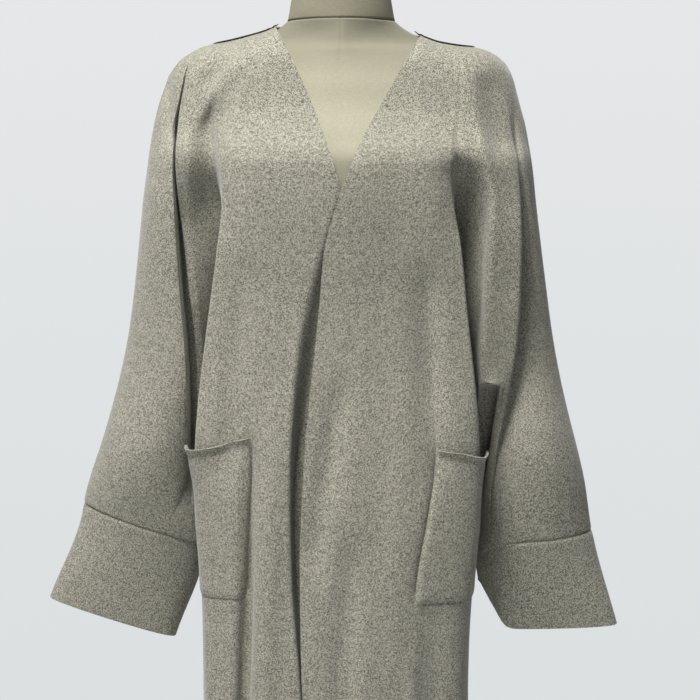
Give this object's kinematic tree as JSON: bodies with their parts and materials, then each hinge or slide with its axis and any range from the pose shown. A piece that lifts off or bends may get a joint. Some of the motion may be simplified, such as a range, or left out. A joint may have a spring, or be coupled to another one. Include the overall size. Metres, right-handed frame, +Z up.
{
  "type": "abaya on dress form",
  "caption": "Full-length open-front abaya with a V neck, batwing sleeves, deep cuffs and patch pockets, worn on a limbless dress form with a pole and a round base.",
  "frame": {"origin": "middle of the underside of the stand's round base, on the floor", "axes": "+Z up; the front of the abaya faces -Y; +X is the wearer's left"},
  "size_m": [0.6473, 0.37, 1.562],
  "materials": {
    "melange_cloth": "greige melange suiting with fine pale and dark flecks, matt with a faint nap",
    "dark_tape": "near-black narrow seam tape, matt",
    "form_linen": "cream linen cover stretched smooth, with a seam down its middle",
    "form_band": "beige linen band round the neck",
    "stand_steel": "satin steel tube",
    "base_enamel": "pale grey enamel"
  },
  "bodies": {
    "root": {"front_right": "melange_cloth", "front_left": "melange_cloth", "back": "melange_cloth", "cuff_right": "melange_cloth", "cuff_left": "melange_cloth", "pocket_right": "melange_cloth", "pocket_left": "melange_cloth", "shoulder_tape_right": "dark_tape", "shoulder_tape_left": "dark_tape", "form_torso": "form_linen", "form_neck": "form_band", "stand_pole": "stand_steel", "stand_base": "base_enamel"}
  },
  "joints": []
}
